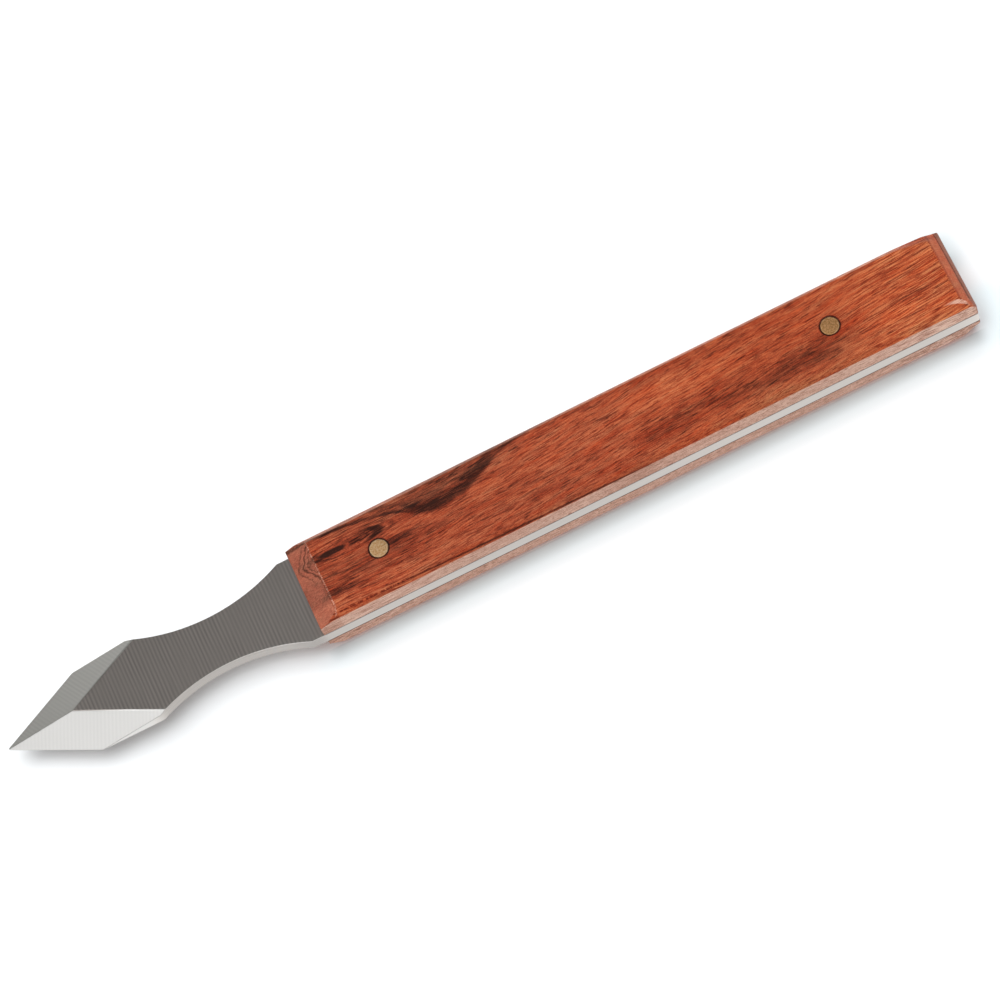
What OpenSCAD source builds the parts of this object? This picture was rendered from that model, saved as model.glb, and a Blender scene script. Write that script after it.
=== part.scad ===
// Marking knife: one bar of steel, ground to a spear point and waisted behind it,
// with two wooden scales on its full tang and two brass pins through all three.
// X runs from the point to the butt, Z is up, and the knife lies on its bottom scale.
// The origin is on the bench, under the middle of the knife's length and width.

/* [Blade] */
// Length of bare steel, from the point to the scales
blade_len = 52.2; // [48:0.2:60]
// Thickness of the steel
steel_t = 2.5; // [1.5:0.1:4]
// What grinding takes off each side of the bar along the blade
side_grind = 0.3; // [0:0.05:1]
// Length of the pointed part, from the point back to the end of the cutting edges
edge_len = 13.5; // [10:0.5:18]
// Length of the ridge between the two bevels, from the point back to the flat
ridge_len = 11.6; // [8:0.2:14]

/* [Neck] */
// Width at the narrowest place of the neck
neck_w = 8.6; // [5:0.1:10]
// Distance from the point to the narrowest place of the neck
neck_at = 36.7; // [33:0.1:39]
// Length of full-width tang between the neck's hollows and the scales
tang_land = 2.2; // [1:0.1:6]

/* [Scales] */
// Length of the handle
handle_len = 112.8; // [90:0.2:140]
// Width of the handle, scales and tang alike
handle_w = 14.6; // [12:0.1:20]
// Thickness of each scale
scale_t = 4.3; // [3.5:0.1:7]
// Length of the long bevel at the front of a scale
front_run = 3.5; // [1:0.1:8]
// Height that the front bevel takes off the top scale
front_drop = 1.7; // [0.5:0.1:2.8]
// Height that the front bevel takes off the bottom scale
bottom_front_drop = 2.6; // [0.5:0.1:2.8]
// Length of the bevel at the butt
butt_run = 2.1; // [1:0.1:6]
// Height that the butt bevel takes off a scale
butt_drop = 1.4; // [0.5:0.1:2.8]
// Bevel along the two long edges of the top scale
top_edge = 0.9; // [0.2:0.05:2]
// Bevel along the two long edges of the bottom scale
bottom_edge = 1.15; // [0.2:0.05:2]
// Radius of the upright corners at the butt, scales and tang alike
butt_corner_r = 0.3; // [0.2:0.1:4]

/* [Pins] */
// Diameter of the two pins
pin_d = 3; // [2:0.1:5]
// Distance from the front of the scales to the front pin
front_pin_inset = 13.5; // [8:0.1:30]
// Distance from the butt to the rear pin
rear_pin_inset = 21.7; // [8:0.1:40]
// Gap all round a pin, which the glue fills
pin_gap = 0.05; // [0.02:0.01:0.1]

/* [Hidden] */
$fn = 96;
overrun = 1;
overall_len = blade_len + handle_len;
// The blade and the tang are one bar, which is as wide as the handle
blade_w = handle_w - 2 * side_grind;
pin_len = steel_t + 2 * scale_t;
pin_places = [blade_len + front_pin_inset, overall_len - rear_pin_inset];
// The cutting edges spread from the point at this angle to the knife's length
edge_angle = atan2(blade_w / 2, edge_len);
// and the bevels rise at this one, so that they meet in the ridge
bevel_angle = atan2(steel_t, ridge_len * sin(edge_angle));
// The hollows of the neck end on the tang's sides, a land's length before the scales
neck_hollow = (handle_w - neck_w) / 2;
neck_reach = blade_len - tang_land - neck_at;
neck_r = (neck_reach * neck_reach + neck_hollow * neck_hollow) / (2 * neck_hollow);

// Everything is drawn with the point at zero and the steel's flat back at zero height,
// then set down on the bench
module on_bench() {
    translate([-overall_len / 2, 0, scale_t]) children();
}

// A bar from one place to another along the knife, with the butt's upright corners rounded
module butt_bar(from, h) {
    corner_y = handle_w / 2 - butt_corner_r;
    translate([from, -handle_w / 2, 0])
        cube([overall_len - butt_corner_r - from, handle_w, h]);
    translate([from, -corner_y, 0])
        cube([overall_len - from, 2 * corner_y, h]);
    for (side = [-1, 1])
        translate([overall_len - butt_corner_r, side * corner_y, 0])
            cylinder(r = butt_corner_r, h = h);
}

module pin_holes(from, h) {
    for (place = pin_places)
        translate([place, 0, from - overrun])
            cylinder(d = pin_d + 2 * pin_gap, h = h + 2 * overrun);
}

// Takes off everything over the slope that rises from one cutting edge
module bevel_cut() {
    cut_len = norm([edge_len + ridge_len, blade_w]);
    slope = steel_t / sin(bevel_angle);
    rotate([-bevel_angle, 0, edge_angle])
        translate([-blade_w, -slope - overrun, 0])
            cube([cut_len + blade_w + overrun, slope + 2 * overrun, steel_t + overrun]);
}

module blade() {
    color("dimgray") on_bench() difference() {
        union() {
            linear_extrude(steel_t)
                polygon([[0, 0], [edge_len, -blade_w / 2], [neck_at, -blade_w / 2],
                         [neck_at, blade_w / 2], [edge_len, blade_w / 2]]);
            butt_bar(neck_at, steel_t);
        }
        for (side = [0, 1]) mirror([0, side, 0]) {
            bevel_cut();
            translate([neck_at, neck_w / 2 + neck_r, -overrun])
                cylinder(r = neck_r, h = steel_t + 2 * overrun, $fn = 240);
        }
        pin_holes(0, steel_t);
    }
}

// One scale, with its joint face at zero height and its outer face up
module scale_block(edge, drop) {
    difference() {
        intersection() {
            butt_bar(blade_len, scale_t);
            // Seen from the side: the long front bevel and the short one at the butt
            translate([0, handle_w / 2 + overrun, 0]) rotate([90, 0, 0])
                linear_extrude(handle_w + 2 * overrun)
                    polygon([[blade_len, 0], [overall_len, 0],
                             [overall_len, scale_t - butt_drop],
                             [overall_len - butt_run, scale_t],
                             [blade_len + front_run, scale_t],
                             [blade_len, scale_t - drop]]);
            // Seen from the end: the bevels along the two long edges
            translate([blade_len - overrun, 0, 0]) rotate([90, 0, 90])
                linear_extrude(handle_len + 2 * overrun)
                    polygon([[-handle_w / 2, 0], [handle_w / 2, 0],
                             [handle_w / 2, scale_t - edge], [handle_w / 2 - edge, scale_t],
                             [edge - handle_w / 2, scale_t], [-handle_w / 2, scale_t - edge]]);
        }
        pin_holes(0, scale_t);
    }
}

module top_scale() {
    color("sienna") on_bench() translate([0, 0, steel_t]) scale_block(top_edge, front_drop);
}

module bottom_scale() {
    color("saddlebrown") on_bench() mirror([0, 0, 1])
        scale_block(bottom_edge, bottom_front_drop);
}

// A pin is filed flush with both scales
module pin(place) {
    color("darkkhaki") on_bench() translate([place, 0, -scale_t])
        cylinder(d = pin_d, h = pin_len);
}

module front_pin() { pin(pin_places[0]); }

module rear_pin() { pin(pin_places[1]); }

blade();
top_scale();
bottom_scale();
front_pin();
rear_pin();
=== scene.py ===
import math

import bmesh
import bpy
from mathutils import Matrix, Vector


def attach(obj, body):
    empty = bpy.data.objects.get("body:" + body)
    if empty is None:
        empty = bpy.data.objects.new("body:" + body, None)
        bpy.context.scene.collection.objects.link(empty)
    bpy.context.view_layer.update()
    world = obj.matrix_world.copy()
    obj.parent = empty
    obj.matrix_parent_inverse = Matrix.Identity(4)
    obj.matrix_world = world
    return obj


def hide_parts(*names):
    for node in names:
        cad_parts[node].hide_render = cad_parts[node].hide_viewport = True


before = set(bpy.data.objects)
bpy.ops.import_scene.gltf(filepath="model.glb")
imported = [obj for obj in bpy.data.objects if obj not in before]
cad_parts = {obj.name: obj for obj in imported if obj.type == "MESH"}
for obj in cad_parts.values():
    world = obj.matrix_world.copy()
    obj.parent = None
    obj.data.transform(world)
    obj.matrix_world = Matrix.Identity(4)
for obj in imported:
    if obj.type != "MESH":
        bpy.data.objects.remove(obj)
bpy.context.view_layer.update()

mm = 0.001
knife = {  # in mm, along the knife from its middle
    "point": -82.5,
    "scales": -30.3,
    "butt": 82.5,
    "pins": (-16.8, 60.8),
    "halfWidth": 7.3,
    "back": 4.3,  # heights over the table: the steel's flat back,
    "face": 6.8,  # its bevelled side
    "top": 11.1,  # and the top scale
}
turns = 64  # faces round a pin and round its hole
print("frame loaded")


tree = None  # the node tree that the nodes below go into


def startNodes(owner):
    global tree
    owner.use_nodes = True
    tree = owner.node_tree
    tree.nodes.clear()
    return owner


def plug(socket, value):
    if isinstance(value, bpy.types.NodeSocket):
        tree.links.new(value, socket)
    else:
        socket.default_value = value


def addNode(kind, inputs=None, **settings):
    node = tree.nodes.new("ShaderNode" + kind)
    for key, value in settings.items():
        setattr(node, key, value)
    for key, value in (inputs or {}).items():
        plug(node.inputs[key], value)
    return node


def calc(operation, *values):
    node = addNode("Math", operation=operation)
    for index, value in enumerate(values):
        plug(node.inputs[index], value)
    return node.outputs[0]


def addUp(*values):
    total = values[0]
    for value in values[1:]:
        total = calc("ADD", total, value)
    return total


def times(*values):
    total = values[0]
    for value in values[1:]:
        total = calc("MULTIPLY", total, value)
    return total


def minus(first, second):
    return calc("SUBTRACT", first, second)


def sizeOf(value):
    return calc("ABSOLUTE", value)


def distance(along, across):
    return calc("SQRT", addUp(times(along, along), times(across, across)))


def ramp(value, low, high, start=0.0, end=1.0):
    # a soft step from start to end while value goes from low to high
    node = addNode("MapRange", interpolation_type="SMOOTHSTEP")
    for key, number in zip(("Value", "From Min", "From Max", "To Min", "To Max"),
                           (value, low, high, start, end)):
        plug(node.inputs[key], number)
    return node.outputs[0]


def between(value, start, full, fade, end):
    # 0 before start, 1 from full to fade, and 0 again after end
    return times(ramp(value, start, full), ramp(value, fade, end, 1.0, 0.0))


def band(value, middle, half, soft):
    # 1 within half of middle, falling to 0 over soft on both sides
    off = sizeOf(minus(value, middle))
    return ramp(off, half, half + soft, 1.0, 0.0)


def handCurve(value, points):
    # a curve through points (place, height), which are given in order
    low, high = points[0][0], points[-1][0]
    tall = max(abs(height) for place, height in points) * 2
    spots = [((place - low) / (high - low), height / tall + 0.5) for place, height in points]
    share = calc("DIVIDE", minus(value, low), high - low)
    node = addNode("FloatCurve", {"Value": share})
    curve = node.mapping.curves[0]
    curve.points[0].location = spots[0]
    curve.points[1].location = spots[-1]
    for spot in spots[1:-1]:
        curve.points.new(*spot)
    node.mapping.update()
    return centred(node.outputs[0], tall)


def noise(vector, scale=1.0, detail=2.0, roughness=0.5, distortion=0.0):
    node = addNode("TexNoise", {
        "Vector": vector, "Scale": scale, "Detail": detail,
        "Roughness": roughness, "Distortion": distortion,
    })
    return node.outputs[0]


def centred(value, strength):
    # swings a value between 0 and 1 about 0 instead
    return times(minus(value, 0.5), strength)


def joinXYZ(x, y, z):
    return addNode("CombineXYZ", {0: x, 1: y, 2: z}).outputs[0]


def splitXYZ(vector):
    return addNode("SeparateXYZ", {0: vector}).outputs[:]


def stretched(place, pulls, shift=0.0):
    # a place in mm, pulled out along the axes that have small numbers
    return joinXYZ(*[calc("MULTIPLY_ADD", part, pull, shift) for part, pull in zip(place, pulls)])


def placeInMm():
    place = addNode("TexCoord").outputs["Object"]
    scaled = addNode("VectorMath", {0: place, 1: (1 / mm, 1 / mm, 1 / mm)}, operation="MULTIPLY")
    return splitXYZ(scaled.outputs[0])


def facing():
    # which way the surface faces, in the object's own axes
    return splitXYZ(addNode("TexCoord").outputs["Normal"])


def fromPins(x, y):
    # distance from the middle of the nearer pin
    away = [sizeOf(minus(x, place)) for place in knife["pins"]]
    return distance(calc("MINIMUM", *away), y)


def blot(x, y, middle, reach, soft=0.35):
    # a soft spot with its outline at the given half length and width, and how far
    # a place is from its middle, where the outline is at 1
    across = calc("DIVIDE", minus(x, middle[0]), reach[0])
    up = calc("DIVIDE", minus(y, middle[1]), reach[1])
    away = distance(across, up)
    return ramp(away, 1.0 - soft, 1.0 + soft, 1.0, 0.0), away


def mixColour(share, first, second, blend="MIX"):
    node = addNode("Mix", data_type="RGBA", blend_type=blend)
    plug(node.inputs[0], share)
    plug(node.inputs[6], first)
    plug(node.inputs[7], second)
    return node.outputs[2]


def multiplied(first, second):
    return mixColour(1.0, first, second, "MULTIPLY")


def colourRamp(value, stops):
    node = addNode("ValToRGB", {"Fac": value})
    bar = node.color_ramp
    while len(bar.elements) < len(stops):
        bar.elements.new(0.5)
    for element, (place, colour) in zip(bar.elements, stops):
        element.position = place
        element.color = (*colour, 1)
    return node.outputs[0]


def useShader(shader, output="OutputMaterial"):
    tree.links.new(shader.outputs[0], addNode(output).inputs["Surface"])


def finishSurface(colour, roughness, relief, depth, gloss):
    # depth is how deep the relief goes, in mm
    bump = addNode("Bump", {"Height": relief, "Distance": depth * mm, "Strength": 0.8})
    useShader(addNode("BsdfPrincipled", {
        "Base Color": colour, "Roughness": roughness, "Normal": bump.outputs[0], **gloss}))


def addObject(name, data):
    thing = bpy.data.objects.new(name, data)
    bpy.context.scene.collection.objects.link(thing)
    return thing


# camera, light and floor
view = {
    "lens": 162.83,  # mm
    "sensor": 36,  # mm
    "place": (7.267, -296.235, 643.16),  # mm
    "azimuth": -0.774,  # degrees
    "elevation": 65.02,
    "roll": -26.945,
    "clip": (0.01, 50),  # m
}


def makeCamera():
    azimuth, elevation, roll = (math.radians(view[key])
                                for key in ("azimuth", "elevation", "roll"))
    forward = Vector((math.cos(elevation) * math.sin(azimuth),
                      math.cos(elevation) * math.cos(azimuth), -math.sin(elevation)))
    level = forward.cross(Vector((0, 0, 1))).normalized()
    upright = level.cross(forward)
    right = level * math.cos(roll) + upright * math.sin(roll)
    up = upright * math.cos(roll) - level * math.sin(roll)
    data = bpy.data.cameras.new("camera")
    data.lens = view["lens"]
    data.sensor_width = view["sensor"]
    data.clip_start, data.clip_end = view["clip"]
    camera = addObject("camera", data)
    turn = Matrix((right, up, -forward)).transposed().to_4x4()
    camera.matrix_world = Matrix.Translation(Vector(view["place"]) * mm) @ turn
    bpy.context.scene.camera = camera


studio = {
    "keyFrom": (-0.02, 0.13, 1),  # the soft box overhead
    "keyAngle": 62,  # degrees across
    "keyStrength": 2.38,
    "room": (0.96, 0.99, 1.0, 1),  # colour of the room's light
    "overhead": 0.175,  # brightness of the room over the knife
    "horizon": 0.72,  # what the walls add at eye level
    "horizonReach": 0.21,
    "below": (0.92, 0.92, 0.92, 1),  # the bright table
    "panels": (  # from, cosine of its edge and centre, brightness
        ((-0.39, -0.31, 0.87), 0.948, 0.976, 1.30),
        ((-0.17, 0.04, 0.98), 0.982, 0.994, 2.8),
        ((0.0, -0.55, 0.835), 0.978, 0.992, 1.0),
        ((-0.40, 0.40, 0.82), 0.980, 0.992, 1.1),
    ),
}


def makeLight():
    lamp = bpy.data.lights.new("key", "SUN")
    lamp.energy = studio["keyStrength"]
    lamp.angle = math.radians(studio["keyAngle"])
    key = addObject("key", lamp)
    key.rotation_euler = Vector(studio["keyFrom"]).to_track_quat("Z", "Y").to_euler()
    key.visible_glossy = False  # the panels are what the steel shows

    world = startNodes(bpy.data.worlds.new("studio"))
    direction = addNode("TexCoord").outputs["Generated"]
    _, _, height = splitXYZ(direction)
    fall = calc("EXPONENT", calc("DIVIDE", height, -studio["horizonReach"]))
    wall = calc("MULTIPLY_ADD", fall, studio["horizon"], studio["overhead"])
    parts = []
    for source, edge, centre, brightness in studio["panels"]:
        toward = Vector(source).normalized()
        near = addNode("VectorMath", {0: direction, 1: toward},
                       operation="DOT_PRODUCT").outputs["Value"]
        parts.append(ramp(near, edge, centre, 0.0, brightness))
    panels = addUp(*parts)
    room = multiplied(studio["room"], joinXYZ(wall, wall, wall))
    above = mixColour(1.0, room, joinXYZ(panels, panels, panels), "ADD")
    isBelow = calc("LESS_THAN", height, 0.0)
    colour = mixColour(isBelow, above, studio["below"])
    shader = addNode("Background", {"Color": colour, "Strength": 1.0})
    useShader(shader, "OutputWorld")
    bpy.context.scene.world = world


table = {
    "half": 6.0,  # m
    "white": (0.965, 0.985, 1.0, 1),
    # painted tint: a touch cooler beside the handle, to take out the red light that the wood throws
    # into its own shadow
    "cool": (0.88, 0.97, 1.0, 1),
    "coolX": (-36.0, -28.0),  # where it comes in, in mm
    "coolY": (-13.0, -8.5, -2.0, 2.0),  # and where it comes in and goes
    # and a painted shadow, darker close to the handle's near side and to the far corner of the butt
    "paintedShadow": (0.645, 0.728, 0.752, 1),
    "nearX": (-32.0, -29.0, 81.0, 83.5),
    "nearY": (-10.0, -7.2, -7.05, -6.75),
    "cornerX": (77.0, 82.5, 82.5, 87.5),
    "cornerY": (2.5, 7.0, 9.0, 14.0),
    "cornerShare": 0.85,
}


def makeFloor():
    half = table["half"]
    mesh = bpy.data.meshes.new("floor")
    mesh.from_pydata([(-half, -half, 0), (half, -half, 0), (half, half, 0), (-half, half, 0)], [],
                     [(0, 1, 2, 3)])
    floor = addObject("floor", mesh)
    material = startNodes(bpy.data.materials.new("white table"))
    x, y, _ = placeInMm()
    # a painted cool tint beside the handle, against the red light in the wood's shadow
    cool = times(ramp(x, *table["coolX"]), between(y, *table["coolY"]))
    # painted shadow on the table, beside the handle's near side and at the butt's far corner
    near = times(between(x, *table["nearX"]), between(y, *table["nearY"]))
    corner = times(between(x, *table["cornerX"]), between(y, *table["cornerY"]),
                   table["cornerShare"])
    tint = mixColour(cool, table["white"], table["cool"])
    tint = mixColour(calc("MAXIMUM", near, corner), tint, table["paintedShadow"])
    white = addNode("BsdfDiffuse", {"Color": tint})
    clear = addNode("BsdfTransparent")
    back = addNode("NewGeometry").outputs["Backfacing"]
    useShader(addNode("MixShader", {0: back, 1: white.outputs[0], 2: clear.outputs[0]}))
    mesh.materials.append(material)
    # the knife is lit by the bright half of the world below it instead of by the table
    floor.visible_diffuse = False
    floor.visible_glossy = False
    floor.visible_transmission = False
    floor.visible_shadow = False


makeCamera()
makeLight()
makeFloor()
bpy.context.scene.view_settings.view_transform = "Standard"
print("camera, light and floor made")


# materials: places along, across and up the knife are in mm, and tones are added up
steelLook = {
    # one steel throughout: its faces differ in brightness as painted reflection, the flat darker
    # and the bevels and sides lighter
    "flat": (0.43, 0.90, 0.835),  # brightness, then its share of green and blue
    "farBevel": (0.70, 0.965, 0.90),
    "nearBevel": (0.67, 0.985, 0.96),
    "sides": (0.585, 0.94, 0.885),
    "pointSides": (0.585, 0.985, 0.96),
    "roughness": 0.27,
    "ribs": 0.17,  # how strongly the wheel's lines show
    "ribPitch": 10.4,  # radians a mm
    "scratches": 0.30,
    "bevelWay": (0.888, 0.46),  # across a cutting edge, seen from above
    "quietBevels": (-0.86, -0.75),  # how much weaker the lines are there, near and far
    "lengthwise": 0.30,  # lines along the sides
    "cloud": 0.06,
    "glueLine": -0.55,  # along both joints with the scales
    # painted light along the knife: from, to, and the tones there
    "farBevelPaintedLight": (-80.0, -60.0, -0.07, 0.09),
    "tangPaintedLight": (-33.0, -32.2, 0.0, 0.03),
    "neckPaintedLight": (-66.0, -34.0, 0.0, 0.12),
    # painted reflection: the hollows of the neck are darker than the sides of the point and of the
    # tang, as they show the shadowed table
    "sidesPaintedReflection": (
        (-82.5, 0.42), (-60.5, 0.40), (-56.5, -0.13), (-36.0, -0.16), (-32.0, -0.25),
        (-29.6, -0.04), (-24.0, 0.0), (12.0, 0.0), (40.0, 0.08), (72.0, 0.08),
        (82.5, 0.42)),
}


def steelColour(part):
    bright, green, blue = steelLook[part]
    return (bright, bright * green, bright * blue, 1)


def groundSteel():
    look = steelLook
    material = startNodes(bpy.data.materials.new("ground steel"))
    x, y, z = placeInMm()
    _, faceY, faceZ = facing()
    onBevel = between(faceZ, 0.5, 0.7, 0.97, 0.995)
    offBevel = minus(1.0, onBevel)
    onSide = ramp(sizeOf(faceZ), 0.3, 0.5, 1.0, 0.0)
    offSide = minus(1.0, onSide)
    nearFace = ramp(faceY, -0.1, 0.1, 1.0, 0.0)
    farBevel = times(onBevel, minus(1.0, nearFace))
    # the wheel's lines run across the bar, and across each cutting edge on the bevels
    along, across = look["bevelWay"]
    bevelWay = addUp(times(x, along), times(sizeOf(y), across))
    way = addUp(times(bevelWay, onBevel), times(x, offBevel))
    drift = noise(joinXYZ(times(way, 0.30), times(y, 0.10), 0.0), 1.0, 1.0)
    ribs = calc("SINE", addUp(times(way, look["ribPitch"]), times(drift, 3.5)))
    ribs = times(ribs, ramp(drift, 0.30, 0.65, 0.45, 1.0))
    scratches = noise(joinXYZ(way, times(y, 0.03), 0.0), 5.5, 2.0, 0.6)
    lengthwise = noise(stretched((x, y, z), (0.06, 1.0, 5.0)), 1.0, 3.0, 0.6)
    cloud = noise(joinXYZ(x, y, z), 0.10, 2.0)
    lines = addUp(times(ribs, look["ribs"]), centred(scratches, look["scratches"]))
    quiet = addUp(1.0, times(onSide, -1.0),
                  times(onBevel, ramp(faceY, -0.1, 0.1, *look["quietBevels"])))
    tone = addUp(times(lines, quiet), times(centred(lengthwise, look["lengthwise"]), onSide))
    offMiddle = sizeOf(minus(z, (knife["back"] + knife["face"]) / 2))
    glued = times(onSide, ramp(offMiddle, 1.06, 1.20),
                  ramp(x, knife["scales"], knife["scales"] + 0.4))
    # the painted light along the sides, the far bevel, the tang and the neck goes into this shade
    shade = addUp(
        1.0, tone, centred(cloud, look["cloud"]),
        times(onSide, handCurve(x, look["sidesPaintedReflection"])),
        times(farBevel, ramp(x, *look["farBevelPaintedLight"])),
        ramp(x, *look["tangPaintedLight"]),
        times(offSide, ramp(x, *look["neckPaintedLight"])),
        times(glued, look["glueLine"]))
    bevels = mixColour(nearFace, steelColour("farBevel"), steelColour("nearBevel"))
    faces = mixColour(onBevel, steelColour("flat"), bevels)
    sides = mixColour(ramp(x, -62.0, -57.0), steelColour("pointSides"), steelColour("sides"))
    colour = multiplied(mixColour(onSide, faces, sides), joinXYZ(shade, shade, shade))
    roughness = addUp(look["roughness"], times(scratches, 0.1))
    finishSurface(colour, roughness, tone, 0.003, {"Metallic": 1.0})
    return material


brassLook = {
    "colours": (
        (0.30, (0.53, 0.25, 0.087)),
        (0.50, (0.79, 0.44, 0.194)),
        (0.70, (0.88, 0.63, 0.367)),
    ),
    "grit": 1.25,  # how strongly it shows
    "strokes": 0.25,  # and the file's strokes
    "brokenRim": 0.10,  # how much brighter the rim is
    "rearDull": (0.06, -0.12),  # tones of the front pin and of the rear one
    "roughness": (0.40, 0.56),
}


def filedBrass():
    look = brassLook
    material = startNodes(bpy.data.materials.new("filed brass"))
    x, y, z = placeInMm()
    grit = noise(joinXYZ(x, y, z), 3.6, 3.0, 0.7)
    strokes = noise(stretched((x, y, z), (1.2, 6.0, 1.0)), 1.0, 2.0)
    tone = addUp(centred(grit, look["grit"]), centred(strokes, look["strokes"]), 0.5,
                 ramp(fromPins(x, y), 1.25, 1.42, 0.0, look["brokenRim"]),
                 ramp(x, -10.0, 50.0, *look["rearDull"]))
    finishSurface(colourRamp(tone, look["colours"]), ramp(grit, 0.3, 0.7, *look["roughness"]),
                  tone, 0.01, {"Metallic": 0.86})
    return material


woodLook = {
    "oiled": (  # colours by tone, from nearly black to pale orange
        (0.00, (0.030, 0.007, 0.004)),
        (0.20, (0.106, 0.021, 0.010)),
        (0.42, (0.290, 0.050, 0.021)),
        (0.60, (0.470, 0.112, 0.046)),
        (0.80, (0.640, 0.215, 0.090)),
        (1.00, (0.850, 0.370, 0.172)),
    ),
    "pale": (  # the same where the oil is thin
        (0.10, (0.300, 0.130, 0.085)),
        (0.50, (0.680, 0.380, 0.275)),
        (0.90, (0.980, 0.740, 0.620)),
    ),
    "tawny": (1, 0.90, 0.80, 1),  # a tint that comes in behind the middle
    "tawnyFrom": (14.0, 44.0),
    "glue": (0.035, 0.018, 0.015, 1),
    # the layers of the grain: pulls along, across and up, shift, detail and roughness
    "wander": (0.07, 0.12, 0.12, 0, 1.0),
    "streaks": (0.035, 0.55, 0.9, 0, 3.0, 0.6, 0.3),
    "mottle": (0.20, 0.45, 0.8, 7, 3.0, 0.55),
    "fibres": (0.28, 4.6, 4.6, 3, 3.0, 0.75),
    "longLines": (0.15, 4.8, 4.8, 23, 1.0, 0.6),
    "pores": (0.40, 7.4, 7.4, 11, 0.0),
    "hairs": (0.60, 9.5, 9.5, 31, 0.0),
    "specks": (4.5, 7.0, 7.0, 17, 2.0, 0.7),
    "hue": (0.12, 0.9, 0.9, 51, 5.0, 0.75),
    # and what they add to the tone
    "streakTone": 0.26,
    "mottleTone": 0.26,
    "fibreTone": 0.34,
    "speckTone": 0.46,
    "poreTone": -0.10,
    "hairTone": -0.215,
    "lift": 0.048,  # makes up for the dark pores and hairs
    "lineTone": 0.04,  # the long lines show everywhere,
    "frontLines": (-18.0, -8.0, 0.09, 0.0),  # and more at the front
    "buttLines": (63.0, 72.0, 0.0, 0.19),  # and at the butt
    "hueSwing": 1.9,  # how far single fibres are redder or more orange
    "reddest": -0.45,
    "blueSwing": 1.4,  # how much more than green blue takes part in that
    # how much more or less than on the faces the grain shows
    "buttContrast": -0.70,
    "sideContrast": 0.8,
    "frontContrast": -0.25,
    "pinRing": (1.62, 1.86, -0.42),  # from and to this far from a pin, and its tone
    "buttRim": -0.26,  # tone of the butt's rim, painted shade where it turns away
    "nearEdgeTone": 0.03,  # tones of the two bevelled long edges, painted light by which way they face
    "farEdgeTone": (-12.0, 12.0, 0.05, -0.03),
    "rimPale": 0.30,  # how pale the butt's rim is, and the other places
    "frontPale": 0.19,
    "buttPale": 0.10,
    # the far bevelled edge is painted paler up to near the butt, as a sheen
    "farEdgeSheen": (72.0, 80.0, 0.42, 0.0),
    "paleSidesFront": (-30.0, -18.0, 0.93, 1.0),  # the sides are painted less pale at both ends
    "paleSidesButt": (55.0, 75.0, 1.0, 0.93),
    "glueShare": 0.85,
    "bendSoft": 60.0,  # how gently the grain starts to lean
    "roughness": 0.34,
}

topGrain = {
    "name": "oiled wood, top",
    "seed": 3.0,
    "middle": 0.45,  # 0 is nearly black, 1 is pale orange
    "gain": 0.06,  # how much lighter the butt is than the front
    "lean": 0.10,  # slope of the grain to the knife's length
    "leanFrom": -10.0,
    "sideFrom": (0.80, 0.97),  # how squarely a face looks aside to count as one
    "paleSides": 0.80,
    "sideLift": 0.10,  # how much lighter the sides are, partly painted sheen
    "joint": knife["face"],
    "glue": 0.26,  # how far the dark line along the joint shows
}

bottomGrain = {
    "name": "oiled wood, bottom",
    "seed": 41.0,
    "middle": 0.49,
    "gain": 0.04,
    "lean": -0.10,
    "leanFrom": -60.0,
    "sideFrom": (0.72, 0.88),
    "paleSides": 0.93,
    "sideLift": -0.05,
    "joint": knife["back"],
    "glue": 0.14,
}


def grainLayer(place, name, seed):
    pulls, shift, finish = woodLook[name][:3], woodLook[name][3], woodLook[name][4:]
    return noise(stretched(place, pulls, seed + shift), 1.0, *finish)


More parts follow.
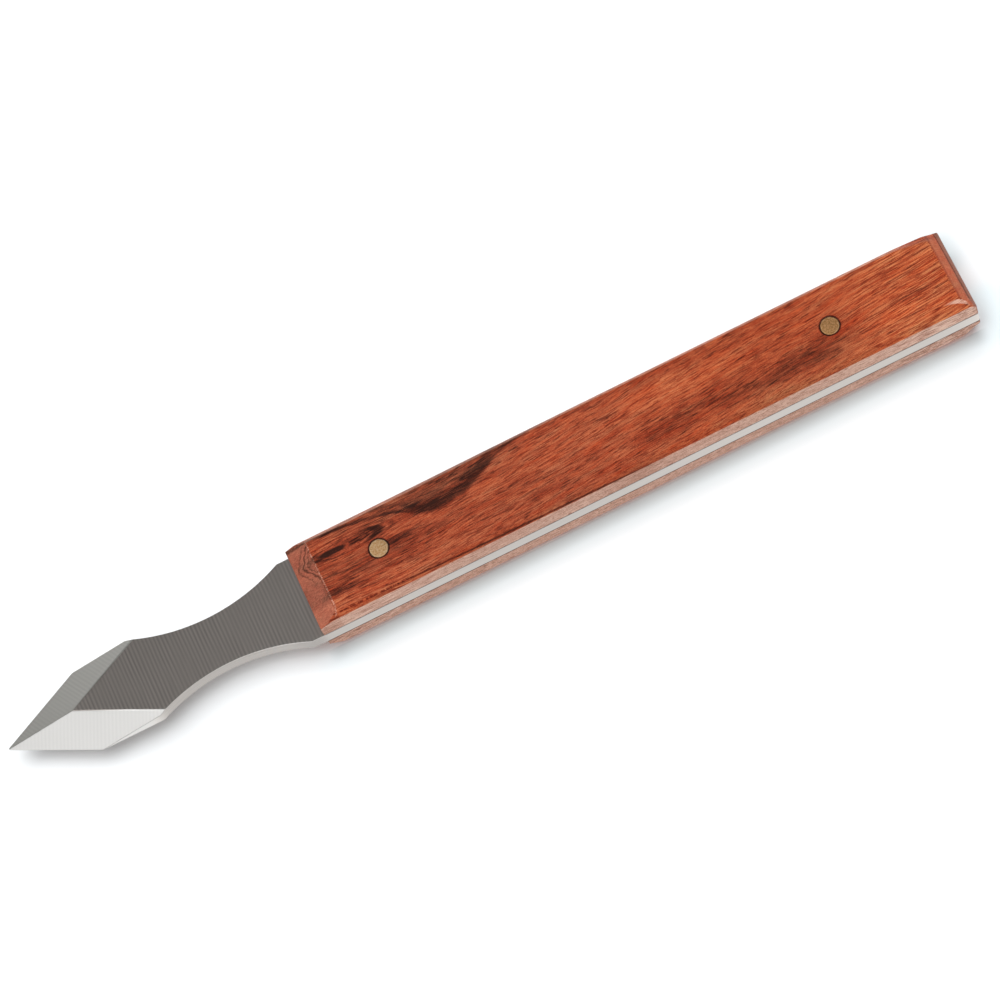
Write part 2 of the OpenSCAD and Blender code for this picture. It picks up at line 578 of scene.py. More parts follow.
def oiledWood(grain, figure=None):
    look, seed = woodLook, grain["seed"]
    material = startNodes(bpy.data.materials.new(grain["name"]))
    x, y, z = placeInMm()
    faceX, faceY, faceZ = facing()
    aside, upright = sizeOf(faceY), sizeOf(faceZ)
    side = ramp(aside, *grain["sideFrom"])
    onEdge = times(ramp(aside, 0.25, 0.55), ramp(upright, 0.25, 0.5))
    farEdge = times(onEdge, ramp(faceY, 0.0, 0.2))
    frontEnd = ramp(faceX, -0.42, -0.25, 1.0, 0.0)
    buttEnd = ramp(faceX, 0.25, 0.42)
    rim = calc("MAXIMUM", ramp(faceX, 0.66, 0.80),
               times(ramp(x, 81.84, 81.96), ramp(upright, 0.2, 0.4)))
    # the fibres run straight at the front and lean from the knife's line behind it
    behind = minus(x, grain["leanFrom"])
    bend = calc("SQRT", calc("MULTIPLY_ADD", behind, behind, look["bendSoft"]))
    lean = times(addUp(behind, bend), grain["lean"] / 2)
    wander = grainLayer((x, y, z), "wander", seed)
    fibreY = addUp(minus(y, lean), centred(wander, 1.0))
    if figure:
        fibreY = addUp(fibreY, figure["bend"](x, y))
    streaks = grainLayer((x, y, z), "streaks", seed)
    mottle, fibres, longLines, pores, hairs, specks, hue = (
        grainLayer((x, fibreY, z), name, seed) for name in
        ("mottle", "fibres", "longLines", "pores", "hairs", "specks", "hue"))
    # pores and hairs don't show on the front end, and less on the sides
    cut = addUp(1.0, times(frontEnd, -1.0), times(side, -0.3))
    dash = times(ramp(pores, 0.59, 0.68), cut)
    hair = times(ramp(hairs, 0.55, 0.66), cut)
    broad = calc("MULTIPLY_ADD", side, -0.55, 1.0)
    lineTone = addUp(ramp(x, *look["buttLines"]), look["lineTone"],
                     ramp(x, *look["frontLines"]))
    grainTone = addUp(
        times(centred(streaks, look["streakTone"]), broad),
        times(centred(mottle, look["mottleTone"]), broad),
        centred(fibres, look["fibreTone"]),
        centred(specks, look["speckTone"]),
        times(ramp(longLines, 0.40, 0.60, -0.5, 0.5), lineTone),
        times(dash, look["poreTone"]), times(hair, look["hairTone"]),
        look["lift"])
    contrast = addUp(1.0, times(buttEnd, look["buttContrast"]), times(side, look["sideContrast"]),
                     times(frontEnd, look["frontContrast"]))
    tone = addUp(grain["middle"], ramp(x, -30.0, 80.0, 0.0, grain["gain"]),
                 times(grainTone, contrast))
    if figure:
        tone = addUp(tone, figure["marks"](x, y, z, streaks, fibres))
    # painted light and shade: the bevelled long edges by which way they face, and the butt's rim
    # darker where it turns away; darker round the pins too
    ringFrom, ringTo, ringTone = look["pinRing"]
    ring = ramp(fromPins(x, y), ringFrom, ringTo, ringTone, 0.0)
    farTone = ramp(x, *look["farEdgeTone"])
    tone = addUp(tone, times(onEdge, ramp(faceY, 0.0, 0.2, look["nearEdgeTone"], farTone)), ring,
                 times(buttEnd, 0.01), times(rim, look["buttRim"]), times(side, grain["sideLift"]))
    colour = colourRamp(tone, look["oiled"])
    colour = multiplied(colour, mixColour(ramp(x, *look["tawnyFrom"]), (1, 1, 1, 1), look["tawny"]))
    # some of the fibres are redder and some more orange
    swing = centred(hue, look["hueSwing"])
    if figure:
        swing = addUp(swing, figure["dust"](x, y))
    swing = calc("MAXIMUM", swing, look["reddest"])
    blue = calc("MULTIPLY_ADD", swing, look["blueSwing"], 1.0)
    colour = multiplied(colour, joinXYZ(1.0, addUp(1.0, swing), blue))
    # the sides are paler than the oiled faces, partly from thinner oil and partly as a painted
    # sheen of the bright table; the end grain is paler too, and the far bevelled edge gets a
    # painted sheen
    paleSideShare = times(ramp(x, *look["paleSidesFront"]), ramp(x, *look["paleSidesButt"]), grain["paleSides"])
    ends = addUp(times(frontEnd, look["frontPale"]),
                 times(farEdge, ramp(x, *look["farEdgeSheen"])),
                 times(buttEnd, look["buttPale"]), times(rim, look["rimPale"]))
    pale = calc("MAXIMUM", times(side, paleSideShare), ends)
    # on the top scale the painted highlights are paler too
    if figure:
        pale = calc("MAXIMUM", pale, figure["highlights"](x, y, fibres, specks))
    colour = mixColour(pale, colour, colourRamp(tone, look["pale"]))
    # darker along the joint with the steel
    glue = ramp(sizeOf(minus(z, grain["joint"])), 0.3 * grain["glue"], grain["glue"],
                look["glueShare"], 0.0)
    colour = mixColour(glue, colour, look["glue"])
    roughness = addUp(look["roughness"], times(fibres, 0.12), times(dash, 0.2), times(side, 0.1))
    relief = addUp(times(fibres, 0.5), times(dash, -1.0))
    finishSurface(colour, roughness, relief, 0.03, {"IOR": 1.45, "Specular IOR Level": 0.15})
    return material


knot = {  # on the top scale, before the front pin
    "parting": ((-21.5, 3.0), (7.0, 2.2)),  # where the fibres part above and below it
    "pull": -0.7,
    # middle, half length and width, softness, tone
    "eye": ((-23.6, 2.95), (2.35, 0.45), 0.3, -0.46),
    "tail": ((-19.8, 2.95), (1.0, 0.35), 0.5, -0.22),
    "halo": (1.4, 2.6, -0.06, 0.0),  # from and to this many times the eye, and its tones
    "rings": ((-21.2, 3.0), (5.6, 1.2)),
    "ringLines": (  # size, half width, softness, strength
        (1.0, 0.05, 0.20, 1.0), (0.66, 0.0, 0.12, 0.6), (1.42, 0.0, 0.14, 0.35)),
    "ringTone": (-19.0, -16.5, -0.12, -0.36),  # from and to, and its tones there
}


def grainRoundKnot(x, y):
    middle, reach = knot["parting"]
    _, away = blot(x, y, middle, reach)
    near = calc("EXPONENT", times(away, away, -1.0))
    return times(minus(y, middle[1]), near, knot["pull"])


def knotTone(x, y, fibres):
    eyeY = addUp(y, centred(fibres, 0.3))
    ringY = addUp(y, centred(fibres, 0.6))
    eye, fromEye = blot(x, eyeY, *knot["eye"][:3])
    tail, _ = blot(x, eyeY, *knot["tail"][:3])
    _, around = blot(x, ringY, *knot["rings"])
    rings = addUp(*[times(band(around, size, half, soft), strength)
                    for size, half, soft, strength in knot["ringLines"]])
    return addUp(times(eye, knot["eye"][3]), times(tail, knot["tail"][3]),
                 ramp(fromEye, *knot["halo"]), times(rings, ramp(x, *knot["ringTone"])))


growthLine = {
    "edge": (  # its near edge, which dips in and comes back
        (-30.0, 6.6), (-24.0, 6.1), (-20.8, 5.85), (-18.2, 5.5), (-16.2, 5.15),
        (-13.9, 4.6), (-12.2, 4.1), (-11.2, 3.65), (-9.8, 2.6), (-8.4, 1.85),
        (-6.8, 1.4), (-4.5, 1.25), (-2.8, 1.7), (-1.0, 2.0), (0.7, 2.7), (2.4, 3.5),
        (4.0, 4.3), (5.2, 5.0), (7.0, 5.8), (11.0, 6.5), (30.0, 7.6)),
    "blotch": (-12.0, -9.0, 3.0, 9.0),  # where it is broad and ragged
    "strength": 0.33,
    "inBlotch": 0.07,  # what is added there
    "end": (8.0, 20.0),  # where it fades out
}


def growthTone(x, y, streaks, fibres):
    blotch = between(x, *growthLine["blotch"])
    ragged = times(centred(fibres, 2.0), addUp(blotch, 0.2))
    over = minus(addUp(y, centred(streaks, 0.5), ragged), handCurve(x, growthLine["edge"]))
    rise = ramp(over, -0.22, calc("MULTIPLY_ADD", blotch, 0.45, 0.15))
    thin = times(ramp(over, 0.25, 0.75, 1.0, 0.22), minus(1.0, blotch))
    thick = times(ramp(over, 1.1, 3.2, 1.0, 0.42), blotch)
    strength = calc("MULTIPLY_ADD", blotch, growthLine["inBlotch"], growthLine["strength"])
    strength = times(strength, ramp(x, *growthLine["end"], 1.0, 0.0),
                     ramp(fibres, 0.30, 0.70, 1.15, 0.75))
    # a second thin one inside it, along the far edge
    inner = times(band(over, 1.5, 0.1, 0.4), ramp(x, -6.0, 4.0, 1.0, 0.0))
    return addUp(times(rise, addUp(thin, thick), strength, -1.0), times(inner, -0.08))


frontBevel = {
    "branch": 2.75,  # how far across the knot's branch comes out
    "arrowheads": (  # place, softness, strength of its growth rings
        (-28.80, 0.22, 1.0), (-29.75, 0.20, 0.5), (-28.05, 0.18, 0.6)),
    "slope": -0.62,  # of their sides
    "arrowTone": (2.6, 3.8, -0.30, 0.0),  # where they fade, and their tones there
    "shade": (-2.0, 2.0, -0.085, -0.06),  # the same across the whole bevel
}


def frontBevelTone(x, y, z):
    apart = sizeOf(minus(y, frontBevel["branch"]))
    wavy = centred(noise(joinXYZ(x, y, z), 1.3, 2.0), 1.1)
    arrow = addUp(x, times(apart, frontBevel["slope"]), wavy)
    arrows = addUp(*[times(band(arrow, place, 0.05, soft), strength)
                     for place, soft, strength in frontBevel["arrowheads"]])
    arrows = times(arrows, ramp(apart, *frontBevel["arrowTone"]))
    return times(ramp(x, -26.9, -26.7, 1.0, 0.0), addUp(arrows, ramp(y, *frontBevel["shade"])))


topStains = {  # middle, half length and width, softness, tones
    "behindPin": ((-13.3, 0.1), (2.4, 0.55), 0.6, (-0.30, -0.30)),
    "nearBevel": ((-24.6, -3.6), (3.4, 0.5), 0.7, (-0.20, -0.20)),
    "roundPin": ((-20.0, -1.9), (7.0, 1.8), 0.7, (-0.05, -0.05)),
    "afterBlotch": ((1.6, 4.6), (3.0, 0.9), 0.6, (-0.06, -0.06)),
    "middle": ((35.7, -3.0), (8.5, 1.7), 0.8, (-0.16, -0.04)),
    "middleLight": ((35.0, 2.6), (9.0, 1.5), 0.8, (0.10, 0.10)),
    "belowRearPin": ((55.5, -3.2), (7.0, 1.6), 0.8, (-0.21, -0.11)),
    "beforeRearPin": ((49.0, -1.8), (14.0, 3.0), 0.5, (-0.055, -0.055)),
}

topDusts = (  # middle, half length and width, softness, strength
    ((-6.0, 6.0), (12.0, 2.6), 0.6, 0.30),  # in the growth line
    ((53.5, -5.4), (11.0, 2.6), 0.6, 0.28),  # along the near edge before the butt
)

topLines = {
    # the fine one along the near edge, dotted at the front
    "nearEdge": ((-30.0, -6.66), (-17.0, -6.72), (-9.0, -6.87), (18.0, -7.15),
                 (30.0, -7.25)),
    "nearEdgeReach": (-26.8, -26.2, 20.0, 32.0),
    "nearEdgeTone": -0.33,
    # painted shade along the far edge, from the middle on
    "farEdge": (6.2, 0.1, 0.3),  # place, half width, softness
    "farEdgeFrom": (10.0, 20.0),
    "farEdgeTone": -0.07,
    # painted shade across the butt, where its bevel begins and close to its end
    "butt": ((80.5, 0.22, -0.13), (81.78, 0.14, -0.26)),  # place, softness, tone
    "buttFrom": (-6.2, -5.6),
}


def topLineTone(x, y, roughY):
    offLine = minus(y, handCurve(x, topLines["nearEdge"]))
    dots = noise(joinXYZ(times(x, 1.6), 0.0, 0.0), 1.0, 1.0)
    dotted = calc("MAXIMUM", ramp(dots, 0.40, 0.55), ramp(x, -17.0, -12.0))
    nearEdge = times(band(offLine, 0.0, 0.03, 0.14), dotted,
                     between(x, *topLines["nearEdgeReach"]), topLines["nearEdgeTone"])
    farEdge = times(band(roughY, *topLines["farEdge"]), ramp(x, *topLines["farEdgeFrom"]),
                    topLines["farEdgeTone"])
    butt = times(ramp(y, *topLines["buttFrom"]),
                 addUp(*[times(band(x, place, 0.03, soft), tone)
                         for place, soft, tone in topLines["butt"]]))
    return addUp(nearEdge, farEdge, butt)


def topMarks(x, y, z, streaks, fibres):
    roughY = addUp(y, centred(fibres, 2.0))
    stains = []
    for middle, reach, soft, tones in topStains.values():
        stain, _ = blot(x, roughY, middle, reach, soft)
        stains.append(times(stain, ramp(fibres, 0.35, 0.65, *tones)))
    # broad shades: lighter near edge at the front, darker below the middle, lighter butt
    front = times(ramp(x, -22.0, 10.0, 1.0, 0.0), ramp(y, -5.5, -3.0, 0.07, -0.03))
    below = times(between(y, -7.1, -6.4, -3.5, 0.5), ramp(x, 62.0, 70.0, -0.01, 0.0))
    butt = ramp(x, 58.0, 70.0, 0.0, 0.06)
    return addUp(knotTone(x, y, fibres), growthTone(x, y, streaks, fibres),
                 frontBevelTone(x, y, z), topLineTone(x, y, roughY), *stains, front, below, butt)


def topDust(x, y):
    # greyer places
    return addUp(*[times(blot(x, y, middle, reach, soft)[0], strength)
                   for middle, reach, soft, strength in topDusts])


topHighlights = {  # painted highlights, where the arrises catch the light
    # the arris over the front bevel and its mitre with the near edge, as (across, along)
    "arris": ((-7.3, -28.6), (-6.8, -27.2), (-6.2, -26.85), (-4.0, -26.75), (3.0, -26.8),
              (7.3, -26.8)),
    "arrisHighlight": 0.62,
    # a crescent at the near corner of the butt, as (along, across)
    "crescent": ((72.0, -6.1), (76.0, -5.72), (78.4, -5.62), (79.5, -5.72), (80.3, -5.96),
                 (81.0, -6.40), (81.5, -6.95), (82.5, -7.8)),
    "crescentReach": (77.4, 79.4, 80.9, 81.5),
    "crescentHalf": 0.26,  # half of its width
    "crescentHighlight": (0.42, 0.75),
}


# pale painted highlights along the arris over the front bevel and in a crescent at the butt's near
# corner
def paintedHighlights(x, y, fibres, specks):
    arris = minus(x, handCurve(y, topHighlights["arris"]))
    arris = times(band(arris, 0.0, 0.05, 0.18), ramp(specks, 0.42, 0.62, 0.12, 1.0),
                  ramp(sizeOf(y), 6.6, 7.2, 1.0, 0.0), topHighlights["arrisHighlight"])
    off = sizeOf(minus(y, handCurve(x, topHighlights["crescent"])))
    half = ramp(x, 77.5, 80.5, 0.0, topHighlights["crescentHalf"])
    crescent = times(ramp(minus(off, half), 0.0, 0.16, 1.0, 0.0),
                     between(x, *topHighlights["crescentReach"]),
                     ramp(fibres, 0.3, 0.6, *topHighlights["crescentHighlight"]))
    return addUp(arris, crescent)


steel = groundSteel()
brass = filedBrass()
topWood = oiledWood(topGrain, {"bend": grainRoundKnot, "marks": topMarks, "highlights": paintedHighlights,
                               "dust": topDust})
bottomWood = oiledWood(bottomGrain)
print("materials made")


# pieces
def addPiece(name, mesh, material, node):
    mesh.materials.append(material)
    piece = addObject(name, mesh)
    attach(piece, "root")
    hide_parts(node)
    return piece


def meshFrom(bm, name):
    # the shapes are drawn in mm
    bmesh.ops.scale(bm, vec=(mm, mm, mm), verts=bm.verts)
    bmesh.ops.recalc_face_normals(bm, faces=bm.faces)
    mesh = bpy.data.meshes.new(name)
    bm.to_mesh(mesh)
    bm.free()
    return mesh


def applyModifiers(piece):
    bpy.context.view_layer.update()
    finished = bpy.data.meshes.new_from_object(
        piece.evaluated_get(bpy.context.evaluated_depsgraph_get()))
    old = piece.data
    piece.modifiers.clear()
    piece.data = finished
    bpy.data.meshes.remove(old)


def sharpenByAngle(mesh, degrees, largest=1.0):
    # smooth faces, with a hard edge wherever two of them meet at more than this angle,
    # but plain ones over the largest area (in square metres) stay plain
    bm = bmesh.new()
    bm.from_mesh(mesh)
    for face in bm.faces:
        face.smooth = face.calc_area() < largest
    for edge in bm.edges:
        edge.smooth = len(edge.link_faces) == 2 and \
            edge.calc_face_angle(0.0) < math.radians(degrees)
    bm.to_mesh(mesh)
    bm.free()


def circle(bm, place, radius, height):
    return [bm.verts.new((place + radius * math.cos(turn), radius * math.sin(turn), height))
            for turn in (2 * math.pi * step / turns for step in range(turns))]


def quarterTurns(count):
    return [math.pi / 2 * step / count for step in range(count + 1)]


def joinRings(bm, rings):
    # a ring of one vertex makes a fan
    count = max(len(ring) for ring in rings)
    for first, second in zip(rings, rings[1:]):
        for step in range(count):
            after = (step + 1) % count
            corners = [first[step % len(first)], first[after % len(first)],
                       second[after % len(second)], second[step % len(second)]]
            bm.faces.new(list(dict.fromkeys(corners)))


def drillHoles(piece, radius, low, high):
    # the holes for the two pins, cut through the piece
    bm = bmesh.new()
    for place in knife["pins"]:
        rings = [circle(bm, place, radius, height) for height in (low, high)]
        joinRings(bm, rings)
        bm.faces.new(rings[0])
        bm.faces.new(rings[1])
    cutter = addObject("drill", meshFrom(bm, "drill"))
    cut = piece.modifiers.new("holes", "BOOLEAN")
    cut.operation = "DIFFERENCE"
    cut.solver = "EXACT"
    cut.object = cutter
    applyModifiers(piece)
    mesh = cutter.data
    bpy.data.objects.remove(cutter)
    bpy.data.meshes.remove(mesh)


pins = {
    "radius": 1.5,
    "hole": 1.56,
    "crown": 0.02,  # how far the filed head falls to its rim
    "rim": 0.07,  # how far the rim is rounded
    "headShares": (0.0, 0.3, 0.6, 0.85),  # rings on the head, as shares of its radius
    "rimSteps": 4,
    "sharp": 40,  # degrees
}


def makePin(name, place):
    radius, rim = pins["radius"], pins["rim"]
    # the profile from the middle of the lower head to the middle of the upper one
    lower = [(share * (radius - rim), pins["crown"] * share ** 2) for share in pins["headShares"]]
    for turn in quarterTurns(pins["rimSteps"]):
        lower.append((radius - rim + rim * math.sin(turn),
                      pins["crown"] + rim * (1 - math.cos(turn))))
    upper = [(out, knife["top"] - height) for out, height in reversed(lower)]
    bm = bmesh.new()
    joinRings(bm, [circle(bm, place, out, height) if out else [bm.verts.new((place, 0, height))]
                   for out, height in lower + upper])
    mesh = meshFrom(bm, name)
    sharpenByAngle(mesh, pins["sharp"])
    return mesh


blade = {  # in mm, along from the point
    # places seen from above, as (from the point, from the middle), on the near side (-1)
    # and on the far one (1), where the wheel took off a little less
    "tip": {-1: (0.0, 0.0), 1: (0.0, 0.40)},
    "shoulder": {-1: (13.5, -7.0), 1: (13.75, 7.27)},
    "ridgeEnd": (11.75, 0.22),
    "thickness": 2.5,
    "neckAt": 36.7,
    "neckHalf": 4.3,
    "neckRadius": 30.982,
    "neckSteps": 48,
    "tangFrom": 50.0,
    "length": {-1: 164.84, 1: 165.0},
    "cornerRadius": 0.3,
    "cornerSteps": 12,
    "arris": 0.07,  # how far the corners of the steel are broken,
    "ridgeArris": 0.15,  # the ridges of the ground point,
    "middleArris": 0.075,  # the one between the two bevels,
    "edgeArris": 0.018,  # the cutting edges
    "tipArris": 0.0075,  # and the blunted tip
    "cornerFrom": 12,  # degrees from which it counts as a corner
    "holeReach": (3.0, 8.0),  # heights between which the pins' holes are cut
    "largestSmooth": 4e-6,  # square metres; larger faces stay plain
}


def fromEdge(side, along, aside):
    # how far a place lies inside a cutting edge, seen from above
    tip, shoulder = blade["tip"][side], blade["shoulder"][side]
    edge = Vector((shoulder[0] - tip[0], shoulder[1] - tip[1])).normalized()
    away = Vector((along - tip[0], aside - tip[1]))
    return -side * (edge.x * away.y - edge.y * away.x)


def bevelHeight(side, along, aside):
    rise = fromEdge(side, along, aside) / fromEdge(side, *blade["ridgeEnd"])
    return blade["thickness"] * min(max(rise, 0.0), 1.0)


def middleOf(low, high, isBelow):
    # the place between low and high up to which isBelow holds
    for _ in range(60):
        middle = (low + high) / 2
        if isBelow(middle):
            low = middle
        else:
            high = middle
    return low


def neckSide(along):
    centre = blade["neckHalf"] + blade["neckRadius"]
    return centre - math.sqrt(blade["neckRadius"] ** 2 - (along - blade["neckAt"]) ** 2)


def bladeOutline(side):
    # one side of the outline, from the shoulder to the butt, as (along, half width)
    length, half, corner = blade["length"][side], knife["halfWidth"], blade["cornerRadius"]
    along, aside = blade["shoulder"][side]
    rise = blade["neckHalf"] + blade["neckRadius"] - abs(aside)
    first = blade["neckAt"] - math.sqrt(blade["neckRadius"] ** 2 - rise ** 2)
    # where the hollow of the neck meets the flat's slanting boundary
    meeting = middleOf(first, blade["neckAt"], lambda place: bevelHeight(
        side, place, side * neckSide(place)) < blade["thickness"])
    points = [(along, abs(aside)), (first, abs(aside)), (meeting, neckSide(meeting))]
    for step in range(1, blade["neckSteps"]):
        place = meeting + (blade["tangFrom"] - meeting) * step / blade["neckSteps"]
        points.append((place, neckSide(place)))
    points.append((blade["tangFrom"], half))
    for turn in quarterTurns(blade["cornerSteps"]):
        points.append((length - corner + corner * math.sin(turn),
                       half - corner + corner * math.cos(turn)))
    return points


def makeBlade():
    bm = bmesh.new()

    def vert(along, aside, height):
        return bm.verts.new((knife["point"] + along, aside, knife["back"] + height))

    tips = {side: vert(*blade["tip"][side], 0) for side in (-1, 1)}
    low, high = {}, {}
    for side in (-1, 1):
        for index, (along, half) in enumerate(bladeOutline(side)):
            low[side, index] = vert(along, side * half, 0)
            if index >= 1:
                high[side, index] = vert(along, side * half, bevelHeight(side, along, side * half))
    last = len(bladeOutline(1)) - 1
    # the ridge rises from the blunted tip
    start = middleOf(blade["tip"][-1][1], blade["tip"][1][1],
                     lambda aside: bevelHeight(-1, 0, aside) < bevelHeight(1, 0, aside))
    ridgeTip = vert(0, start, bevelHeight(-1, 0, start))
    ridge = vert(*blade["ridgeEnd"], blade["thickness"])
    back = [tips[-1]] + [low[-1, index] for index in range(last + 1)]
    back += [low[1, index] for index in range(last, -1, -1)] + [tips[1]]
    bm.faces.new(back)
    flat = [ridge] + [high[-1, index] for index in range(2, last + 1)]
    flat += [high[1, index] for index in range(last, 1, -1)]
    bm.faces.new(flat)
    bm.faces.new((tips[-1], tips[1], ridgeTip))
    for side in (-1, 1):
        bm.faces.new((tips[side], low[side, 0], high[side, 1], high[side, 2], ridge, ridgeTip))
        bm.faces.new((low[side, 0], low[side, 1], high[side, 1]))
        for index in range(1, last):
            bm.faces.new((low[side, index], low[side, index + 1], high[side, index + 1],
                          high[side, index]))
    bm.faces.new((low[-1, last], low[1, last], high[1, last], high[-1, last]))
    bmesh.ops.recalc_face_normals(bm, faces=bm.faces)
    # break every corner, the cutting edges least and the ridges of the point most
    keen = set(tips.values()) | {low[side, 0] for side in (-1, 1)}
    weights = bm.edges.layers.float.new("bevel_weight_edge")
    for edge in bm.edges:
        if edge.calc_face_angle(0.0) < math.radians(blade["cornerFrom"]):
            continue
        if ridgeTip in edge.verts:
            kind = "middleArris" if ridge in edge.verts else "tipArris"
        elif all(corner in keen for corner in edge.verts):
            kind = "edgeArris"
        else:
            kind = "ridgeArris" if ridge in edge.verts else "arris"
        edge[weights] = blade[kind] / blade["ridgeArris"]
    return meshFrom(bm, "blade")


topScale = {
    "name": "top_scale",
    "joint": knife["face"],  # height of the joint face
    "up": 1,  # +1 for the top scale, -1 for the bottom one
    "sideBevel": 0.9,
    "frontDrop": 1.7,
    "buttWear": 0.0,  # what the corners of the butt lose besides
    "edgeWear": 0.0,  # and the long edges
    # the far bevel is narrower in the middle and wider at the butt: rise, from and to
    "farEdge": ((0.26, -22.0, 20.0), (-0.26, 74.0, 81.0), (-0.3, 73.0, 82.0),
                (-0.95, 79.4, 82.6)),
    "material": topWood,
}

bottomScale = {
    "name": "bottom_scale",
    "joint": knife["back"],
    "up": -1,
    "sideBevel": 1.15,
    "frontDrop": 2.6,
    "buttWear": 2.2,
    "edgeWear": 0.75,
    "farEdge": (),
    "material": bottomWood,
}

scaleShape = {
    "thickness": 4.3,
    "frontRun": 3.5,
    "buttRun": 2.1,
    "buttDrop": 1.4,
    "buttRim": 0.5,  # a steeper break at the very end
    "buttRimSlope": 1.7,
    "nearButtWorn": (0.55, 72.0, 80.5),  # how much flatter the long bevels get at the
    "farButtWorn": (0.30, 72.0, 80.5),  # butt, from and to
    "frontWorn": (0.35, 26.2, 29.0),  # and at the front, before the middle
    "buttWearFrom": (79.2, 82.7),
    "edgeWearEnd": (80.3, 82.2),
    "edgeReach": 1.1,  # how far in the long edges are worn
    "cornerRadius": 0.3,
    "wallRound": 0.14,  # rounding where bevels meet the upright sides
    "sideSoft": 0.22,  # and where they meet the face and each other
    "frontSoft": 0.12,
    "buttSoft": 0.26,
    "rimSoft": 0.12,
    "jointBreak": 0.05,
    "skew": 0.16,  # how much shorter the near side is at the butt
    "skewFrom": 79.0,
    "coarse": 1.0,  # length of the mesh's faces
    "fine": 0.25,  # and at both ends,
    "fineTo": 5.0,  # up to and from this far behind the front
    "fineFrom": 101.0,
    "lastRow": 1.0,  # how far before the butt the last row can be
    "closest": 0.004,  # rows closer than this are left out
    "roundSteps": 5,
    "cornerSteps": 10,
    "rows": (0.25, 0.36, 0.48, 0.6, 0.72, 0.84, 0.96, 1.1, 1.25, 1.45, 1.7, 2.1, 2.7,
             3.6, 4.8, 6.0),  # distances of the rows of faces from the edge
    "wallRows": (0.85, 0.5, 0.2),  # shares of the height of the upright sides
    "sharp": 30,  # degrees
}


def softMin(first, second, reach):
    gap = max(reach - abs(first - second), 0.0)
    return min(first, second) - gap * gap / (4 * reach)


def smooth(value, low, high):
    share = min(max((value - low) / (high - low), 0.0), 1.0)
    return share * share * (3 - 2 * share)


def quarterRound(share):
    # how far a rounded edge has fallen, 0 where it starts and 1 at its foot
    return 1 - math.sqrt(max(1 - share * share, 0.0))


def insideBy(x, y):
    # how far a place lies inside the scale's outline, seen from above
    radius = scaleShape["cornerRadius"]
    beyond = x - knife["butt"] + radius
    aside = abs(y) - knife["halfWidth"] + radius
    if beyond > 0 and aside > 0:
        return radius - math.hypot(beyond, aside)
    return min(x - knife["scales"], knife["butt"] - x, knife["halfWidth"] - abs(y))


def faceHeight(x, y, sizes):
    # height of the outer face over the joint face
    s = scaleShape
    top, drop = s["thickness"], sizes["frontDrop"]
    fromButt, fromSide = knife["butt"] - x, knife["halfWidth"] - abs(y)
    front = top - drop + (x - knife["scales"]) * drop / s["frontRun"]
    butt = top - s["buttDrop"] + fromButt * s["buttDrop"] / s["buttRun"]
    rim = top - s["buttDrop"] - s["buttRim"] + fromButt * s["buttRimSlope"]
    worn, wornFrom, wornTo = s["nearButtWorn"] if y < 0 else s["farButtWorn"]
    frontWorn, frontFrom, frontTo = s["frontWorn"]
    flatter = worn * smooth(x, wornFrom, wornTo) + frontWorn * smooth(-x, frontFrom, frontTo)
    side = top - sizes["sideBevel"] + fromSide * (1 - flatter)
    if y > 0:
        side += sum(rise * smooth(x, low, high) for rise, low, high in sizes["farEdge"])
    side -= sizes["buttWear"] * smooth(x, *s["buttWearFrom"])
    height = softMin(top, front, s["frontSoft"])
    height = softMin(height, butt, s["buttSoft"])
    height = softMin(height, rim, s["rimSoft"])
    height = softMin(height, side, s["sideSoft"])
    inside = max(insideBy(x, y), 0.0)
    if inside < s["wallRound"]:
        height -= s["wallRound"] * quarterRound(1 - inside / s["wallRound"])
    if fromSide < s["edgeReach"]:
        left = 1 - smooth(x, *s["edgeWearEnd"])
        height -= sizes["edgeWear"] * left * quarterRound(1 - fromSide / s["edgeReach"])
    return height


def halfWidthAt(x):
    radius = scaleShape["cornerRadius"]
    beyond = x - (knife["butt"] - radius)
    if beyond <= 0:
        return knife["halfWidth"]
    return knife["halfWidth"] - radius + math.sqrt(max(radius ** 2 - beyond ** 2, 0.0))


def roundedSteps():
    # distances from an edge of the rows of faces that round it
    s = scaleShape
    return [s["wallRound"] * (1 - math.cos(turn)) for turn in quarterTurns(s["roundSteps"])]


def stationsAlong():
    s = scaleShape
    front, butt, radius = knife["scales"], knife["butt"], s["cornerRadius"]
    places = [front + step for step in roundedSteps()]
    places += [butt - step for step in roundedSteps()]
    places += [butt - radius + radius * math.sin(turn) for turn in quarterTurns(s["cornerSteps"])]
    behind = s["fine"]
    while behind < butt - front - s["lastRow"]:
        places.append(front + behind)
        behind += s["coarse"] if s["fineTo"] <= behind < s["fineFrom"] else s["fine"]
    places = sorted(set(round(place, 4) for place in places))
    kept = [places[0]]
    for place in places[1:]:
        if place - kept[-1] > s["closest"]:
            kept.append(place)
    kept[-1] = butt
    return kept


def rowsAcross():
    steps = roundedSteps() + list(scaleShape["rows"])
    near = [step - knife["halfWidth"] for step in steps]
    return near + [0.0] + [-place for place in reversed(near)]


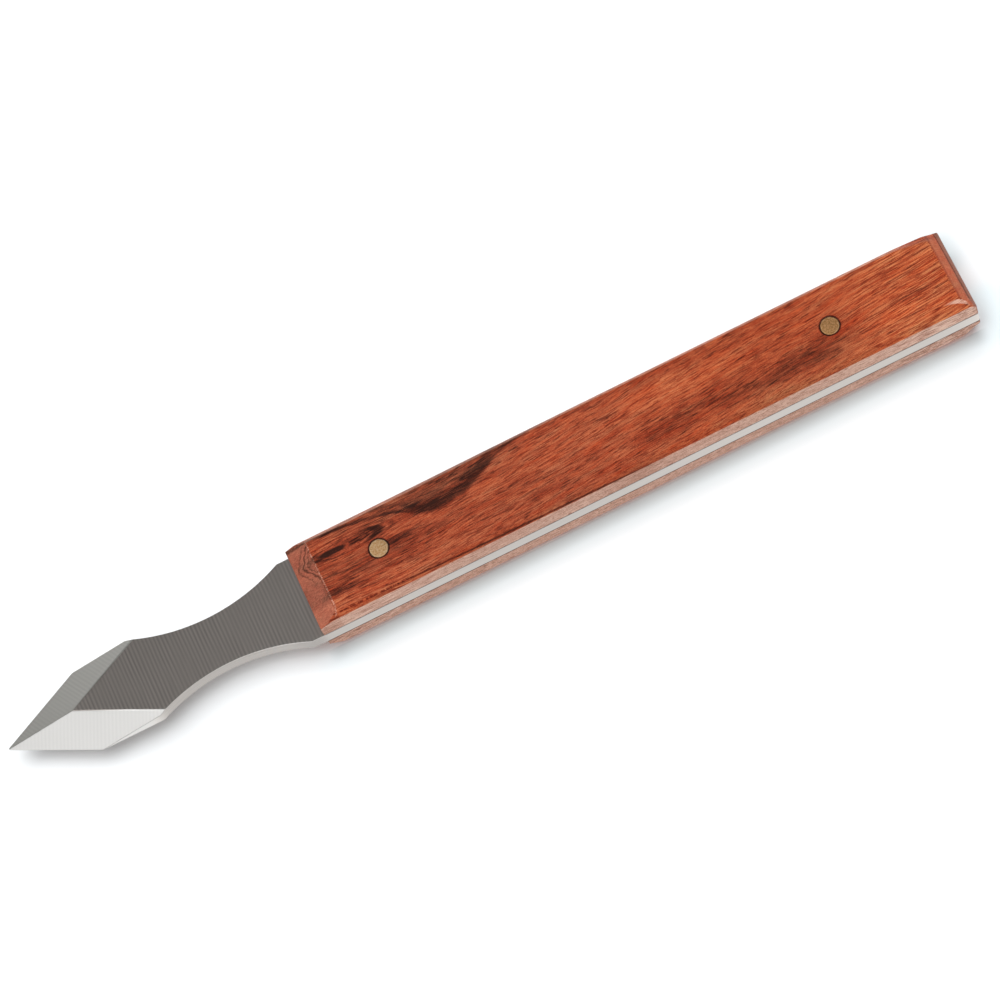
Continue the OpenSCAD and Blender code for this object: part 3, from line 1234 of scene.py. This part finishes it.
def makeScale(sizes):
    s = scaleShape
    rows = rowsAcross()
    bm = bmesh.new()
    top = []
    for x in stationsAlong():
        share = halfWidthAt(x) / knife["halfWidth"]
        top.append([bm.verts.new((x, y * share, faceHeight(x, y * share, sizes))) for y in rows])
    for first, second in zip(top, top[1:]):
        for index in range(len(rows) - 1):
            bm.faces.new((first[index], first[index + 1], second[index + 1], second[index]))
    # the upright sides, down to a joint edge that is just broken
    rim = [row[0] for row in top] + top[-1][1:]
    rim += [row[-1] for row in reversed(top[:-1])] + list(reversed(top[0][1:-1]))
    gap = s["jointBreak"]
    rings = [rim]
    for share in s["wallRows"]:
        rings.append([bm.verts.new((v.co.x, v.co.y, share * v.co.z)) for v in rim])
    rings.append([bm.verts.new((v.co.x, v.co.y, gap)) for v in rim])
    jointEdge = []
    for x, y, _ in [vertex.co for vertex in rim]:
        x = min(max(x, knife["scales"] + gap), knife["butt"] - gap)
        half = max(halfWidthAt(x) - gap, 0.0)
        jointEdge.append(bm.verts.new((x, min(max(y, -half), half), 0.0)))
    rings.append(jointEdge)
    joinRings(bm, rings)
    bm.faces.new(jointEdge)
    # the butt is a little out of square, and the bottom scale lies upside down
    width = 2 * knife["halfWidth"]
    for vertex in bm.verts:
        x, y, z = vertex.co
        skew = s["skew"] * smooth(x, s["skewFrom"], knife["butt"])
        vertex.co.x = x - skew * (0.5 - y / width)
        vertex.co.z = sizes["joint"] + sizes["up"] * z
    return meshFrom(bm, sizes["name"])


knifeBlade = addPiece("ground_blade", makeBlade(), steel, "blade")
arrises = knifeBlade.modifiers.new("arrises", "BEVEL")
arrises.limit_method = "WEIGHT"
arrises.width = blade["ridgeArris"] * mm
arrises.segments = 2
applyModifiers(knifeBlade)
drillHoles(knifeBlade, pins["hole"], *blade["holeReach"])
sharpenByAngle(knifeBlade.data, blade["cornerFrom"], blade["largestSmooth"])
print("blade made")

for sizes in (topScale, bottomScale):
    scalePiece = addPiece("shaped_" + sizes["name"], makeScale(sizes), sizes["material"],
                          sizes["name"])
    # from 1 mm inside the steel to well outside
    low, high = sorted((sizes["joint"] - sizes["up"], sizes["joint"] + 6 * sizes["up"]))
    drillHoles(scalePiece, pins["hole"], low, high)
    sharpenByAngle(scalePiece.data, scaleShape["sharp"])
print("scales made")

for name, place in zip(("front_pin", "rear_pin"), knife["pins"]):
    addPiece("filed_" + name, makePin("filed_" + name, place), brass, name)
print("pins made")
